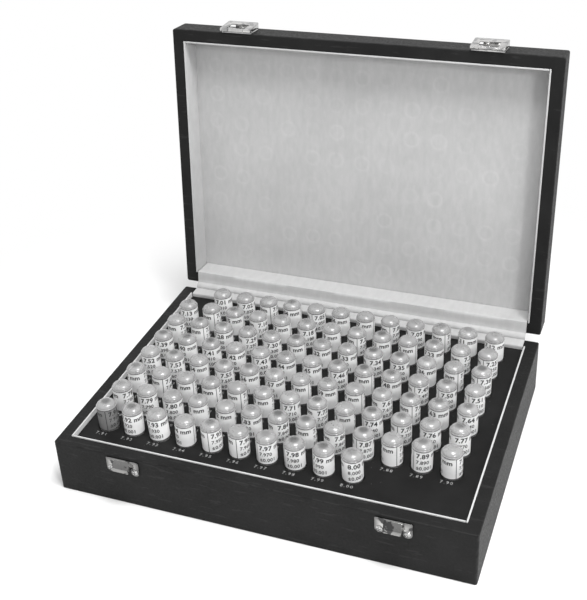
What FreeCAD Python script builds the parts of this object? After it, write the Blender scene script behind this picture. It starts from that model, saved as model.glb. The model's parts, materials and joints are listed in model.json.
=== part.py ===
import FreeCAD, Part
import math
import os
import re

# Boxed set of one hundred pin gauges, 7.01 mm to 8.00 mm in steps of 0.01 mm.
# Each gauge stands in its own capped tube, and the tubes stand in a drilled
# plate inside a hinged case with two hasps.
# The origin is the middle of the case's underside: X right, Y to the hinges,
# Z up, millimetres.  The lid is drawn open, as the set is used.

# ---------------------------------------------------------------- sizes
# One row for each size that can be set by itself: alias, value.
SIZES = [
    ("case_width", 296), ("case_depth", 214),
    ("base_height", 41.6), ("lid_height", 20.8),
    ("wall_thickness", 9), ("floor_thickness", 3), ("panel_thickness", 2),
    ("corner_radius", 3), ("rim_gap", 1.6), ("open_angle", 95.5),
    ("lining_thickness", 1.5), ("lining_proud", 0.6), ("pad_thickness", 0.6),
    # Drilled plate and the battens under its edges.
    ("plate_thickness", 3), ("plate_drop", 2.6), ("plate_clearance", 0.25),
    ("batten_thickness", 5), ("hole_clearance", 0.6),
    ("left_margin", 16.1), ("right_margin", 18.9),
    ("front_margin", 20.65), ("back_margin", 16.35),
    ("column_count", 13), ("row_count", 8),
    ("back_row_gaps", 1), ("front_row_gaps", 3),
    # Capped tubes and the gauges in them.
    ("tube_radius", 7), ("tube_wall", 1), ("tube_floor", 1), ("gauge_headroom", 2),
    ("tube_sides", 7), ("bore_sides", 6),
    ("cap_overhang", 0.2), ("cap_height", 4.3), ("crown_radius", 4.6),
    ("gauge_length", 50), ("smallest_gauge", 7.01), ("gauge_step", 0.01),
    # Butt hinges on the back.
    ("hinge_inset", 53), ("hinge_offset", 2.9), ("hinge_length", 36),
    ("knuckle_length", 9), ("knuckle_gap", 0.3), ("knuckle_radius", 2.4),
    ("leaf_thickness", 0.8), ("base_leaf_height", 16), ("lid_leaf_height", 14),
    ("hinge_pin_radius", 1.1), ("pin_clearance", 0.05), ("barrel_sides", 8),
    # Hasps on the lid's front wall.
    ("latch_inset", 53.2), ("latch_width", 24.5), ("hasp_thickness", 0.8),
    ("barrel_radius", 1.3), ("hasp_pin_radius", 0.6), ("pivot_out", 2.65),
    ("pivot_drop", 1.1), ("hasp_reach", 17), ("window_width", 14.5),
    ("window_end", 10.4), ("rest_lean", 5.6), ("catch_lean", 6.4),
    ("hasp_clearance", 0.2), ("middle_knuckle_width", 12),
    ("bracket_thickness", 0.8), ("bracket_reach", 14.4), ("bracket_inset", 0.3),
    ("rivet_radius", 1.5), ("rivet_height", 0.8), ("rivet_spacing", 8),
    ("rivet_setback", 8),
    # Keepers on the base's front wall.
    ("keeper_thickness", 0.8), ("keeper_drop", 2.3), ("keeper_height", 12),
    ("keeper_leg_width", 6.3), ("nose_width", 12), ("nose_reach", 4.6),
    ("nose_lip", 0.8), ("nose_clearance", 0.3), ("nose_top_drop", 1),
    ("nose_slope_end", 2.2), ("screw_spacing", 18.4), ("screw_drop", 10.9),
    ("screw_head_radius", 2.1), ("screw_head_height", 1),
    # Cloth over the hinge side.
    ("flap_thickness", 0.5), ("flap_clearance", 0.3), ("flap_arc_gap", 0.1),
]

# ---------------------------------------------------------------- places
# Worked out from the sizes.  Names that start with lid_ are measured from the
# hinge axis with the lid shut, and names that start with hasp_ from its pivot.
PLACES = [
    ("half_width", "case_width / 2"), ("half_depth", "case_depth / 2"),
    ("inner_half_width", "half_width - wall_thickness"),
    ("inner_half_depth", "half_depth - wall_thickness"),
    ("lined_half_width", "inner_half_width - lining_thickness"),
    ("lined_front", "lining_thickness - inner_half_depth"),
    ("lining_top", "base_height + lining_proud"),
    ("plate_top", "base_height - plate_drop"),
    ("plate_underside", "plate_top - plate_thickness"),
    ("plate_back", "inner_half_depth - flap_thickness - plate_clearance"),
    ("hinge_y", "half_depth + hinge_offset"),
    ("hinge_z", "base_height + rim_gap / 2"),
    ("lid_rim", "rim_gap / 2"), ("lid_top", "lid_rim + lid_height"),
    ("lid_ceiling", "lid_top - panel_thickness"),
    ("lid_lined_ceiling", "lid_ceiling - pad_thickness"),
    ("lid_back", "-hinge_offset"), ("lid_front", "lid_back - case_depth"),
    ("lid_inner_back", "lid_back - wall_thickness"),
    ("lid_inner_front", "lid_front + wall_thickness"),
    ("lid_lined_front", "lid_inner_front + lining_thickness"),
    # The tubes fill the plate, but for a margin on each side.
    ("first_column", "left_margin - lined_half_width"),
    ("pitch_across", "(2 * lined_half_width - left_margin - right_margin) / (column_count - 1)"),
    ("first_row", "inner_half_depth - back_margin"),
    ("pitch_back", "(first_row - front_margin - lined_front) / (row_count - 1)"),
    ("tube_length", "tube_floor + gauge_length + gauge_headroom"),
    ("hinge_spread", "half_width - hinge_inset"), ("latch_spread", "half_width - latch_inset"),
    # A tube is drawn with a few flats, midway between its inner and outer circle.
    ("tube_corner_share", "(1 + 1 / cos(180 / tube_sides)) / 2"),
    ("bore_corner_share", "(1 + 1 / cos(180 / bore_sides)) / 2"),
    ("tube_corner", "tube_radius * tube_corner_share"),
    ("hole_corner", "(tube_radius + hole_clearance) * tube_corner_share"),
    ("bore_corner", "(tube_radius - tube_wall) * bore_corner_share"),
    ("cap_corner", "(tube_radius + cap_overhang) * tube_corner_share"),
    ("crown_corner", "crown_radius * tube_corner_share"),
    # Rolled knuckles are drawn with flats too, and their bores' flats clear the round pins.
    ("barrel_share", "1 / cos(180 / barrel_sides)"),
    ("knuckle_bore", "(hinge_pin_radius + pin_clearance) * barrel_share"),
    ("leaf_relief", "knuckle_radius + knuckle_gap"),
    ("barrel_bore", "(hasp_pin_radius + pin_clearance) * barrel_share"),
    ("pivot_y", "lid_front - pivot_out"), ("pivot_z", "lid_rim - pivot_drop"),
    ("half_latch", "latch_width / 2"), ("half_window", "window_width / 2"),
    ("half_middle_knuckle", "middle_knuckle_width / 2"),
    ("bracket_start", "lid_rim + bracket_inset"),
    ("bracket_end", "lid_rim + bracket_reach"),
    # The shut hasp hangs out by catch_lean, and its lower bar sits under the nose.
    ("bar_top", "hinge_z + pivot_z - window_end * cos(catch_lean)"
                " - (barrel_radius - hasp_thickness) * sin(catch_lean)"),
    ("nose_underside", "bar_top + nose_clearance"),
    ("keeper_top", "base_height - keeper_drop"),
    ("leg_bottom", "keeper_top - keeper_height"),
    ("flap_half_width", "lined_half_width - flap_clearance"),
]

doc = FreeCAD.newDocument("pin_gauge_set")
sheet = doc.addObject("Spreadsheet::Sheet", "Sizes")
places = doc.addObject("Spreadsheet::Sheet", "Places")
SIZE_NAMES = {alias for alias, size in SIZES}
PLACE_NAMES = {alias for alias, rule in PLACES}


def formula(text):
    """The text with each size and place written as its sheet's cell."""
    def cell(match):
        word = match.group()
        if word in SIZE_NAMES:
            return "Sizes." + word
        return "Places." + word if word in PLACE_NAMES else word
    return re.sub(r"[a-z_]+", cell, text)


for row, (alias, size) in enumerate(SIZES, 1):
    sheet.set(f"A{row}", alias)
    sheet.set(f"B{row}", str(size))
    sheet.setAlias(f"B{row}", alias)
for row, (alias, rule) in enumerate(PLACES, 1):
    places.set(f"A{row}", alias)
    places.setAlias(f"B{row}", alias)
for row, (alias, rule) in enumerate(PLACES, 1):
    places.set(f"B{row}", "=" + formula(rule).replace("Places.", ""))
doc.recompute()


def value(name):
    """The number in a size's or a place's cell."""
    return float((sheet if name in SIZE_NAMES else places).get(name))


# ---------------------------------------------------------------- building
def bind(thing, rules):
    """Tie each property to its formula."""
    for prop, rule in rules.items():
        thing.setExpression(prop, formula(rule))
    return thing


def block(name, x, y, z):
    """A box between two places on each axis."""
    box = doc.addObject("Part::Box", name)
    for prop, axis, (low, high) in zip(("Length", "Width", "Height"), "xyz", (x, y, z)):
        bind(box, {prop: f"({high}) - ({low})", f"Placement.Base.{axis}": low})
    return box


def rod(name, radius, x, y, z):
    """A round bar along X, between two places, about the line at y and z."""
    bar = doc.addObject("Part::Cylinder", name)
    bar.Placement.Rotation = FreeCAD.Rotation(FreeCAD.Vector(0, 1, 0), 90)
    low, high = x
    return bind(bar, {"Radius": radius, "Height": f"({high}) - ({low})",
                      "Placement.Base.x": low, "Placement.Base.y": y, "Placement.Base.z": z})


def barrel(name, corner, x, y, z):
    """A flat-sided bar along X, with flats facing forwards and up."""
    bar = doc.addObject("Part::Prism", name)
    half_flat = FreeCAD.Rotation(FreeCAD.Vector(0, 0, 1), 180 / value("barrel_sides"))
    bar.Placement.Rotation = FreeCAD.Rotation(FreeCAD.Vector(0, 1, 0), 90).multiply(half_flat)
    low, high = x
    return bind(bar, {"Polygon": "barrel_sides", "Circumradius": corner,
                      "Height": f"({high}) - ({low})",
                      "Placement.Base.x": low, "Placement.Base.y": y, "Placement.Base.z": z})


def button(name, radius, x, y, z):
    """A flat-sided head that faces forwards, between two places on Y."""
    head = doc.addObject("Part::Prism", name)
    half_flat = FreeCAD.Rotation(FreeCAD.Vector(0, 0, 1), 180 / value("barrel_sides"))
    head.Placement.Rotation = FreeCAD.Rotation(FreeCAD.Vector(1, 0, 0), 90).multiply(half_flat)
    low, high = y
    return bind(head, {"Polygon": "barrel_sides", "Circumradius": radius,
                       "Height": f"({high}) - ({low})",
                       "Placement.Base.x": x, "Placement.Base.y": high, "Placement.Base.z": z})


def prism(name, sides, corner, bottom, top):
    """An upright bar with flat sides, on the Z axis."""
    bar = doc.addObject("Part::Prism", name)
    return bind(bar, {"Polygon": sides, "Circumradius": corner,
                      "Height": f"({top}) - ({bottom})", "Placement.Base.z": bottom})


def fused(name, things):
    whole = doc.addObject("Part::MultiFuse", name)
    whole.Shapes = things
    return whole


def gathered(name, things):
    whole = doc.addObject("Part::Compound", name)
    whole.Links = things
    return whole


def cut(name, base, tool):
    rest = doc.addObject("Part::Cut", name)
    rest.Base = base
    rest.Tool = tool
    return rest


def rounded(name, box, edges):
    """The box with the named upright edges rounded by the corner radius."""
    radius = value("corner_radius")
    soft = doc.addObject("Part::Fillet", name)
    soft.Base = box
    soft.Edges = [(edge, radius, radius) for edge in edges]
    return soft


# Upright edges of a Part::Box, by where they stand.
LEFT_FRONT, LEFT_BACK, RIGHT_FRONT, RIGHT_BACK = 1, 3, 5, 7

nodes = {}
CASE_FRAME = FreeCAD.Placement()
X_AXIS = FreeCAD.Vector(1, 0, 0)
LID_FRAME = FreeCAD.Placement(FreeCAD.Vector(0, value("hinge_y"), value("hinge_z")),
                              FreeCAD.Rotation(X_AXIS, -value("open_angle")))


def piece(name, things, frame=CASE_FRAME):
    """One named sub-part, drawn in its own frame and set where that frame stands."""
    whole = gathered(name, things)
    whole.Label = name
    whole.Placement = frame
    nodes[name] = whole
    return whole


def mirrored_pair(spread):
    """The two middles of a fitting that is on the left and on the right."""
    return (("left", f"-{spread}"), ("right", spread))


# ---------------------------------------------------------------- case
def shell(part, frame, y_back, y_front, inner_back, inner_front, z, corners):
    """Four walls: the front and the back run full width, and the sides go between."""
    full = ("-half_width", "half_width")
    front = block(f"{part}_front_board", full, (y_front, inner_front), z)
    back = block(f"{part}_back_board", full, (inner_back, y_back), z)
    front_corners, back_corners = corners
    piece(f"{part}_front_wall", [rounded(f"{part}_front_soft", front, front_corners)], frame)
    piece(f"{part}_back_wall", [rounded(f"{part}_back_soft", back, back_corners)], frame)
    between = (inner_front, inner_back)
    for side, x in (("left", ("-half_width", "-inner_half_width")),
                    ("right", ("inner_half_width", "half_width"))):
        piece(f"{part}_{side}_wall", [block(f"{part}_{side}_board", x, between, z)], frame)


def cover(name, frame, y, z):
    """A full-size board with all four corners rounded."""
    board = block(f"{name}_board", ("-half_width", "half_width"), y, z)
    corners = (LEFT_FRONT, LEFT_BACK, RIGHT_FRONT, RIGHT_BACK)
    piece(name, [rounded(f"{name}_soft", board, corners)], frame)


def linings(part, frame, inner_front, lined_front, inner_back, z):
    """Pale boards that stand proud of the rim, on three sides."""
    for side, x in (("left", ("-inner_half_width", "-lined_half_width")),
                    ("right", ("lined_half_width", "inner_half_width"))):
        piece(f"{part}_{side}_lining",
              [block(f"{part}_{side}_strip", x, (inner_front, inner_back), z)], frame)
    between = ("-lined_half_width", "lined_half_width")
    piece(f"{part}_front_lining",
          [block(f"{part}_front_strip", between, (inner_front, lined_front), z)], frame)


def build_case():
    corners = ((LEFT_FRONT, RIGHT_FRONT), (LEFT_BACK, RIGHT_BACK))
    cover("base_floor", CASE_FRAME, ("-half_depth", "half_depth"), ("0", "floor_thickness"))
    shell("base", CASE_FRAME, "half_depth", "-half_depth", "inner_half_depth",
          "-inner_half_depth", ("floor_thickness", "base_height"), corners)
    linings("base", CASE_FRAME, "-inner_half_depth", "lined_front", "inner_half_depth",
            ("floor_thickness", "lining_top"))
    cover("lid_panel", LID_FRAME, ("lid_front", "lid_back"), ("lid_ceiling", "lid_top"))
    shell("lid", LID_FRAME, "lid_back", "lid_front", "lid_inner_back", "lid_inner_front",
          ("lid_rim", "lid_ceiling"), corners)
    linings("lid", LID_FRAME, "lid_inner_front", "lid_lined_front", "lid_inner_back",
            ("lid_rim - lining_proud", "lid_lined_ceiling"))
    piece("lid_pad", [block("lid_pad_sheet", ("-inner_half_width", "inner_half_width"),
                            ("lid_inner_front", "lid_inner_back"),
                            ("lid_lined_ceiling", "lid_ceiling"))], LID_FRAME)


# ---------------------------------------------------------------- gauges
def row_plan():
    """Each row from the back: its number, its Y, its first column and its length."""
    rows = int(value("row_count"))
    columns = int(value("column_count"))
    for row in range(rows):
        first = int(value("back_row_gaps")) if row == 0 else 0
        missing = int(value("front_row_gaps")) if row == rows - 1 else 0
        yield row + 1, value("first_row") - row * value("pitch_back"), first, columns - missing


def stations(y, first, last):
    """Where the tubes of one row stand."""
    for column in range(first, last):
        x = value("first_column") + column * value("pitch_across")
        yield FreeCAD.Vector(x, y, 0)


def row_of(name, master, y, first, last):
    """Copies of one master at every station of a row."""
    row = doc.addObject("Part::Feature", name)
    row.Shape = Part.makeCompound([master.Shape.translated(spot)
                                   for spot in stations(y, first, last)])
    return row


def tapered_cap(bottom):
    """A cap of flat faces that narrows from its foot to its crown."""
    sides = int(value("tube_sides"))

    def ring(corner, level):
        turns = [2 * math.pi * side / sides for side in range(sides)]
        return [FreeCAD.Vector(corner * math.cos(t), corner * math.sin(t), level) for t in turns]

    foot = ring(value("cap_corner"), bottom)
    crown = ring(value("crown_corner"), bottom + value("cap_height"))
    outlines = [foot[::-1], crown]
    for side in range(sides):
        after = (side + 1) % sides
        outlines.append([foot[side], foot[after], crown[after], crown[side]])
    faces = [Part.Face(Part.makePolygon(loop + loop[:1])) for loop in outlines]
    return Part.Solid(Part.Shell(faces))


def build_masters():
    """One tube, one cap and one hole, all on the Z axis."""
    tube_top = "floor_thickness + tube_length"
    outside = prism("tube_outside", "tube_sides", "tube_corner", "floor_thickness", tube_top)
    bore = prism("tube_bore", "bore_sides", "bore_corner", "floor_thickness + tube_floor", tube_top)
    tube = cut("tube_master", outside, bore)
    cap = doc.addObject("Part::Feature", "cap_master")
    cap.Shape = tapered_cap(value("floor_thickness") + value("tube_length"))
    hole = prism("hole_master", "tube_sides", "hole_corner", "plate_underside", "plate_top")
    doc.recompute()
    return tube, cap, hole


def build_gauges():
    tube, cap, hole = build_masters()
    holes = []
    count = 0
    for number, y, first, last in row_plan():
        piece(f"tube_row_{number}", [row_of(f"tubes_{number}", tube, y, first, last)])
        piece(f"cap_row_{number}", [row_of(f"caps_{number}", cap, y, first, last)])
        holes.append(row_of(f"holes_{number}", hole, y, first, last))
        gauges = []
        for spot in stations(y, first, last):
            radius = f"(smallest_gauge + gauge_step * {count}) / 2 * bore_corner_share"
            foot = "floor_thickness + tube_floor"
            gauge = prism(f"gauge_{count + 1}", "bore_sides", radius, foot,
                          foot + " + gauge_length")
            gauge.Placement.Base.x = spot.x
            gauge.Placement.Base.y = spot.y
            gauges.append(gauge)
            count += 1
        piece(f"gauge_row_{number}", gauges)
    sheet_stock = block("plate_stock", ("plate_clearance - lined_half_width",
                                        "lined_half_width - plate_clearance"),
                        ("lined_front + plate_clearance", "plate_back"),
                        ("plate_underside", "plate_top"))
    piece("gauge_plate", [cut("drilled_plate", sheet_stock, gathered("all_holes", holes))])


def build_battens():
    """Battens on the floor, along the linings, that the plate's edges rest on."""
    height = ("floor_thickness", "plate_underside")
    whole_depth = ("lined_front", "inner_half_depth")
    inside = ("batten_thickness - lined_half_width", "lined_half_width - batten_thickness")
    for side, x in (("left", ("-lined_half_width", "batten_thickness - lined_half_width")),
                    ("right", ("lined_half_width - batten_thickness", "lined_half_width"))):
        piece(f"{side}_batten", [block(f"{side}_batten_bar", x, whole_depth, height)])
    piece("front_batten", [block("front_batten_bar", inside,
                                 ("lined_front", "lined_front + batten_thickness"), height)])
    piece("back_batten", [block("back_batten_bar", inside,
                                ("inner_half_depth - batten_thickness", "inner_half_depth"),
                                height)])


# ---------------------------------------------------------------- hinges
def hinge_leaf(name, middle, spans, other_spans, z):
    """A leaf with its knuckles, relieved where the other leaf's knuckles turn."""
    half = "hinge_length / 2"
    leaf = block(f"{name}_leaf", (f"{middle} - {half}", f"{middle} + {half}"),
                 ("lid_back", "lid_back + leaf_thickness"), z)
    reliefs = [rod(f"{name}_relief_{i}", "leaf_relief",
                   (f"{middle} + ({low}) - knuckle_gap", f"{middle} + ({high}) + knuckle_gap"),
                   "0", "0") for i, (low, high) in enumerate(other_spans)]
    knuckles = [barrel(f"{name}_knuckle_{i}", "knuckle_radius",
                       (f"{middle} + ({low})", f"{middle} + ({high})"), "0", "0")
                for i, (low, high) in enumerate(spans)]
    trimmed = cut(f"{name}_trimmed", leaf, gathered(f"{name}_reliefs", reliefs))
    bore = barrel(f"{name}_bore", "knuckle_bore",
                  (f"{middle} - hinge_length", f"{middle} + hinge_length"), "0", "0")
    return cut(name, fused(f"{name}_rolled", [trimmed] + knuckles), bore)


def build_hinges():
    """Two butt hinges, each with two knuckles on the base and one on the lid."""
    half = "hinge_length / 2"
    base_spans = ((f"-{half}", f"knuckle_length - {half}"), (f"{half} - knuckle_length", half))
    lid_spans = ((f"knuckle_length - {half} + knuckle_gap",
                  f"{half} - knuckle_length - knuckle_gap"),)
    base_leaves, lid_leaves, pins = [], [], []
    for side, middle in mirrored_pair("hinge_spread"):
        base_leaves.append(hinge_leaf(f"{side}_base_hinge", middle, base_spans, lid_spans,
                                      ("-lid_rim - base_leaf_height", "0")))
        lid_leaves.append(hinge_leaf(f"{side}_lid_hinge", middle, lid_spans, base_spans,
                                     ("0", "lid_rim + lid_leaf_height")))
        pins.append(rod(f"{side}_hinge_pin", "hinge_pin_radius",
                        (f"{middle} - {half} - knuckle_gap", f"{middle} + {half} + knuckle_gap"),
                        "0", "0"))
    still = FreeCAD.Placement(LID_FRAME.Base, FreeCAD.Rotation())
    piece("hinge_base_leaves", base_leaves, still)
    piece("hinge_pins", pins, still)
    piece("hinge_lid_leaves", lid_leaves, LID_FRAME)


# ---------------------------------------------------------------- latches
def build_hasp(side):
    """A frame with an open window, turning on two end knuckles.

    Drawn about its pivot, with the frame pointing up and its outer face forwards.
    """
    y = ("-barrel_radius", "hasp_thickness - barrel_radius")
    frame_plate = block(f"{side}_hasp_plate", ("-half_latch", "half_latch"), y, ("0", "hasp_reach"))
    window = block(f"{side}_hasp_window", ("-half_window", "half_window"),
                   ("-2 * barrel_radius", "0"), ("-barrel_radius", "window_end"))
    knuckles = [barrel(f"{side}_hasp_knuckle_{i}", "barrel_radius * barrel_share", x, "0", "0")
                for i, x in enumerate((("-half_latch", "-half_middle_knuckle - hasp_clearance"),
                                       ("half_middle_knuckle + hasp_clearance", "half_latch")))]
    bore = barrel(f"{side}_hasp_bore", "barrel_bore", ("-latch_width", "latch_width"), "0", "0")
    solid = fused(f"{side}_hasp_solid",
                  [cut(f"{side}_hasp_frame", frame_plate, window)] + knuckles)
    middle = -value("latch_spread") if side == "left" else value("latch_spread")
    pivot = FreeCAD.Vector(middle, value("pivot_y"), value("pivot_z"))
    turned = FreeCAD.Placement(pivot, FreeCAD.Rotation(X_AXIS, value("rest_lean")))
    piece(f"{side}_hasp", [cut(f"{side}_hasp_bored", solid, bore)], LID_FRAME.multiply(turned))


def bracket(side, middle):
    """The plate that holds a hasp's pin in one middle knuckle, with a lip that stops it."""
    wide = (f"{middle} - half_latch", f"{middle} + half_latch")
    narrow = (f"{middle} - half_middle_knuckle", f"{middle} + half_middle_knuckle")
    plate = block(f"{side}_bracket_plate", wide, ("lid_front - bracket_thickness", "lid_front"),
                  ("bracket_start", "bracket_end"))
    web = block(f"{side}_bracket_web", narrow, ("pivot_y", "lid_front"),
                ("bracket_start", "bracket_start + barrel_radius"))
    lip_top = "pivot_y - (bracket_end - pivot_z) * tan(rest_lean) + hasp_clearance"
    lip = block(f"{side}_bracket_lip", narrow, (f"{lip_top} + hasp_thickness - barrel_radius",
                                                "lid_front"),
                ("bracket_end - bracket_thickness", "bracket_end"))
    knuckle = barrel(f"{side}_bracket_knuckle", "barrel_radius", narrow, "pivot_y", "pivot_z")
    strap = block(f"{side}_bracket_strap", narrow, ("pivot_y", "pivot_y + barrel_radius"),
                  ("pivot_z", "bracket_start + barrel_radius"))
    bore = barrel(f"{side}_bracket_bore", "barrel_bore", wide, "pivot_y", "pivot_z")
    whole = fused(f"{side}_bracket_solid", [plate, web, lip, knuckle, strap])
    return cut(f"{side}_bracket", whole, bore)


def keeper(side, middle):
    """A plate with two legs and a ramped nose that the hasp's lower bar snaps under."""
    face = "-half_depth"
    front = f"{face} - keeper_thickness"
    bar = block(f"{side}_keeper_bar", (f"{middle} - half_latch", f"{middle} + half_latch"),
                (front, face), ("nose_underside", "keeper_top"))
    parts = [bar]
    for leg, sign in (("outer", "-"), ("inner", "+")):
        centre = f"{middle} {sign} (half_latch - keeper_leg_width / 2)"
        low = "leg_bottom + keeper_leg_width / 2"
        parts.append(block(f"{side}_keeper_{leg}_leg",
                           (f"{centre} - keeper_leg_width / 2", f"{centre} + keeper_leg_width / 2"),
                           (front, face), (low, "nose_underside")))
        parts.append(button(f"{side}_keeper_{leg}_end", "keeper_leg_width / 2 * barrel_share",
                            centre, (front, face), low))
    parts.append(nose(side, middle))
    return fused(f"{side}_keeper_solid", parts)


def nose(side, middle):
    """The ramped nose of a keeper, with a lip below its tip."""
    wall = -value("half_depth")
    tip = wall - value("nose_reach")
    lip = tip + value("nose_lip")
    under = value("nose_underside")
    top = value("keeper_top") - value("nose_top_drop")
    outline = [(wall, top), (wall - value("keeper_thickness"), top),
               (tip, under + value("nose_slope_end")), (tip, under - value("nose_lip")),
               (lip, under - value("nose_lip")), (lip, under), (wall, under)]
    middle_x = -value("latch_spread") if side == "left" else value("latch_spread")
    left = middle_x - value("nose_width") / 2
    points = [FreeCAD.Vector(left, y, z) for y, z in outline]
    face = Part.Face(Part.makePolygon(points + points[:1]))
    solid = doc.addObject("Part::Feature", f"{side}_keeper_nose")
    solid.Shape = face.extrude(FreeCAD.Vector(value("nose_width"), 0, 0))
    return solid


def build_latches():
    brackets, pins, rivets = [], [], []
    for side, middle in mirrored_pair("latch_spread"):
        build_hasp(side)
        brackets.append(bracket(side, middle))
        pins.append(rod(f"{side}_hasp_pin", "hasp_pin_radius",
                        (f"{middle} - half_latch", f"{middle} + half_latch"),
                        "pivot_y", "pivot_z"))
        front = "lid_front - bracket_thickness"
        for end, sign in (("outer", "-"), ("inner", "+")):
            rivets.append(button(f"{side}_{end}_rivet", "rivet_radius",
                                 f"{middle} {sign} rivet_spacing / 2",
                                 (f"{front} - rivet_height", front), "lid_rim + rivet_setback"))
        piece(f"{side}_keeper", [keeper(side, middle)])
    piece("hasp_brackets", brackets, LID_FRAME)
    piece("hasp_pins", pins, LID_FRAME)
    piece("bracket_rivets", rivets, LID_FRAME)
    front = "-half_depth - keeper_thickness"
    piece("keeper_screws", [
        button(f"{side}_{end}_screw", "screw_head_radius", f"{middle} {sign} screw_spacing / 2",
               (f"{front} - screw_head_height", front), "base_height - screw_drop")
        for side, middle in mirrored_pair("latch_spread") for end, sign in (("outer", "-"), ("inner", "+"))])


# ---------------------------------------------------------------- cloth
def build_flap():
    """The cloth that runs from the plate, over both back rims, to the lid's pad."""
    thick = value("flap_thickness")
    gap = value("flap_clearance")
    rim = value("lid_rim")
    turn = FreeCAD.Placement(FreeCAD.Vector(), LID_FRAME.Rotation)
    edge = FreeCAD.Vector(0, value("lid_back"), rim).Length
    near = edge + value("flap_arc_gap")
    far = near + thick

    def base_point(y, z):
        return FreeCAD.Vector(0, y, z)

    def lid_point(y, z):
        return turn.multVec(FreeCAD.Vector(0, y, z))

    def reach(radius, z):
        return -(radius ** 2 - z ** 2) ** 0.5

    def middle(radius):
        half = FreeCAD.Rotation(X_AXIS, -value("open_angle") / 2)
        return half.multVec(FreeCAD.Vector(0, -radius, 0))

    wall = value("lid_inner_back")
    bottom = -rim - value("plate_drop") - value("plate_thickness") / 2
    ceiling = value("lid_lined_ceiling") - gap
    lid_wall = wall - gap
    lid_near = rim - gap
    near_side = [base_point(wall, bottom), base_point(wall, -rim),
                 base_point(reach(near, rim), -rim)]
    far_lid = [lid_point(reach(near, lid_near), lid_near), lid_point(lid_wall, lid_near),
               lid_point(lid_wall, ceiling), lid_point(lid_wall - thick, ceiling),
               lid_point(lid_wall - thick, lid_near - thick),
               lid_point(reach(far, lid_near - thick), lid_near - thick)]
    far_side = [base_point(reach(far, thick - rim), thick - rim),
                base_point(wall - thick, thick - rim), base_point(wall - thick, bottom)]
    lines = []
    for run in (near_side, far_lid, far_side + near_side[:1]):
        lines += [Part.makeLine(a, b) for a, b in zip(run, run[1:])]
    inner_arc = Part.Arc(near_side[-1], middle(near), far_lid[0]).toShape()
    outer_arc = Part.Arc(far_lid[-1], middle(far), far_side[0]).toShape()
    outline = Part.Wire(Part.__sortEdges__(lines + [inner_arc, outer_arc]))
    cloth = doc.addObject("Part::Feature", "flap_cloth")
    width = value("flap_half_width")
    face = Part.Face(outline)
    face.translate(FreeCAD.Vector(-width, 0, 0))
    cloth.Shape = face.extrude(FreeCAD.Vector(2 * width, 0, 0))
    piece("hinge_flap", [cloth], FreeCAD.Placement(LID_FRAME.Base, FreeCAD.Rotation()))


# ---------------------------------------------------------------- model
build_case()
build_battens()
build_gauges()
build_hinges()
build_latches()
build_flap()
doc.recompute()

for thing in doc.Objects:
    if "Invalid" in thing.State or "Error" in thing.State:
        raise RuntimeError(f"{thing.Name} did not rebuild: {thing.State}")
for name, whole in nodes.items():
    shape = whole.Shape
    if shape.isNull() or not shape.isValid() or not shape.Solids:
        raise RuntimeError(f"{name} has no sound shape")

os.makedirs("parts", exist_ok=True)
for name, whole in nodes.items():
    whole.Shape.exportStep(f"parts/{name}.step")
print(len(nodes), "sub-parts,", sum(len(whole.Shape.Solids) for whole in nodes.values()), "solids")
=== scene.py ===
import json
import math
import random

import bmesh
import bpy
import numpy as np
from mathutils import Matrix, Vector


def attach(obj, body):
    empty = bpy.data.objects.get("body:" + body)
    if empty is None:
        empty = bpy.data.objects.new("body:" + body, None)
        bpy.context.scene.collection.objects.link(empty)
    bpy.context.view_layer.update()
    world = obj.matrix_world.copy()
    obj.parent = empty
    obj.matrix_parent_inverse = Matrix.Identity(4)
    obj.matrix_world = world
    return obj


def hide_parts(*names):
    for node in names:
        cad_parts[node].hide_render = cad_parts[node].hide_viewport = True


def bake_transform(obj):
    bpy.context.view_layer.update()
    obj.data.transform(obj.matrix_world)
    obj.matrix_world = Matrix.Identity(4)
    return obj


# Looks for the boxed set of pin gauges.  Lengths are in metres, and MM turns
# millimetres into them.  X right, Y to the hinges, Z up, as in the frame.

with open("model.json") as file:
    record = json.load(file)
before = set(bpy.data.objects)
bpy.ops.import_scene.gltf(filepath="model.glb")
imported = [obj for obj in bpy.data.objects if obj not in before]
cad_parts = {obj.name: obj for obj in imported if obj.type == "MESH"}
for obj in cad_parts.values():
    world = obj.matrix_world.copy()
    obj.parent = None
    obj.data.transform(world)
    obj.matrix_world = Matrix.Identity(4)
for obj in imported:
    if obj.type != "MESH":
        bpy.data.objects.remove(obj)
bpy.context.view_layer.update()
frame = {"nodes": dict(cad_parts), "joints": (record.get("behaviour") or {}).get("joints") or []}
MM = 0.001
rng = random.Random(7)

# ---------------------------------------------------------------- places
PITCH = 20 * MM
SMALLEST = 7.01
STEP = 0.01
LID_JOINT = next(joint for joint in frame["joints"] if joint["name"] == "lid_hinge")
HINGE = Vector(LID_JOINT["pos_m"])
OPEN = math.radians(LID_JOINT["range_deg"][1])
LID = Matrix.Translation(HINGE) @ Matrix.Rotation(-OPEN, 4, "X")
ROWS = range(1, 9)


def points_of(node, matrix=None):
    """The corners of a CAD node, seen from the frame that matrix places."""
    points = np.array([v.co for v in frame["nodes"][node].data.vertices], float)
    if matrix is None:
        return points
    back = np.array(matrix.inverted())
    return points @ back[:3, :3].T + back[:3, 3]


def local_box(node, matrix=None):
    points = points_of(node, matrix)
    return Vector(points.min(0)), Vector(points.max(0))


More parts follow.
